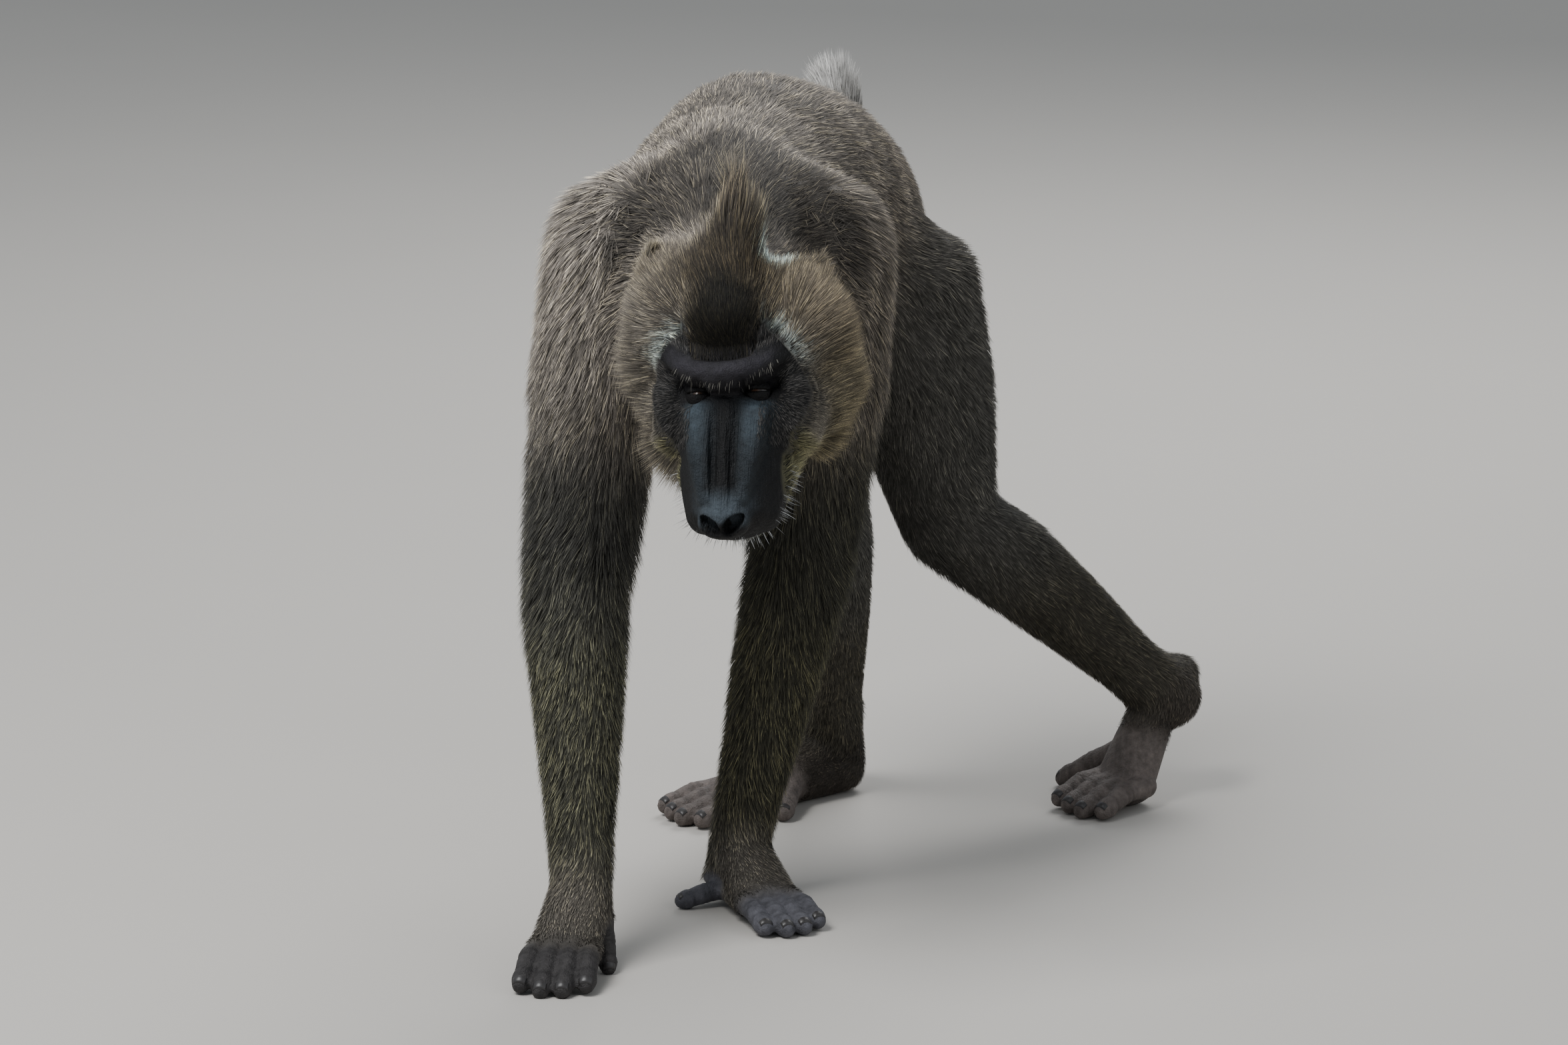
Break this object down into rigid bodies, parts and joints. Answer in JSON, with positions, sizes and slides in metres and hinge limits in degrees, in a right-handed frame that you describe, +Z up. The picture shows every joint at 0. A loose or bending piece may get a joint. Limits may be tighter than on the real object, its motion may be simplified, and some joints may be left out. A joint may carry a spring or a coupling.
{
  "type": "standing drill monkey",
  "caption": "Life-size male drill monkey walking on all fours with its head lowered, as one still model with a maned head, bare face, hands, feet and a short tail.",
  "frame": {"origin": "middle of the standing animal's box, on the floor that its hands and feet rest on", "axes": "+Z up, +Y from head to tail, +X to the animal's left"},
  "size_m": [0.5019, 0.6203, 0.5799],
  "materials": {
    "olive_coat": "dense olive-brown coat",
    "dark_coat": "dark grey-brown coat",
    "pale_hair": "white hair",
    "black_skin": "bare matt black skin",
    "paw_skin": "bare dark bluish-grey skin",
    "seat_skin": "bare mauve-pink skin",
    "eye": "wet brown eye"
  },
  "bodies": {
    "root": {"head": "olive_coat", "neck": "olive_coat", "chest": "olive_coat", "belly": "olive_coat", "rump": "olive_coat", "tail": "pale_hair", "muzzle": "black_skin", "jaw": "olive_coat", "ear_left": "black_skin", "ear_right": "black_skin", "eye_left": "eye", "eye_right": "eye", "upper_arm_left": "dark_coat", "upper_arm_right": "dark_coat", "forearm_left": "dark_coat", "forearm_right": "dark_coat", "hand_left": "paw_skin", "hand_right": "paw_skin", "thigh_left": "dark_coat", "thigh_right": "dark_coat", "shank_left": "dark_coat", "shank_right": "dark_coat", "foot_left": "paw_skin", "foot_right": "paw_skin", "seat_left": "seat_skin", "seat_right": "seat_skin"}
  },
  "joints": []
}
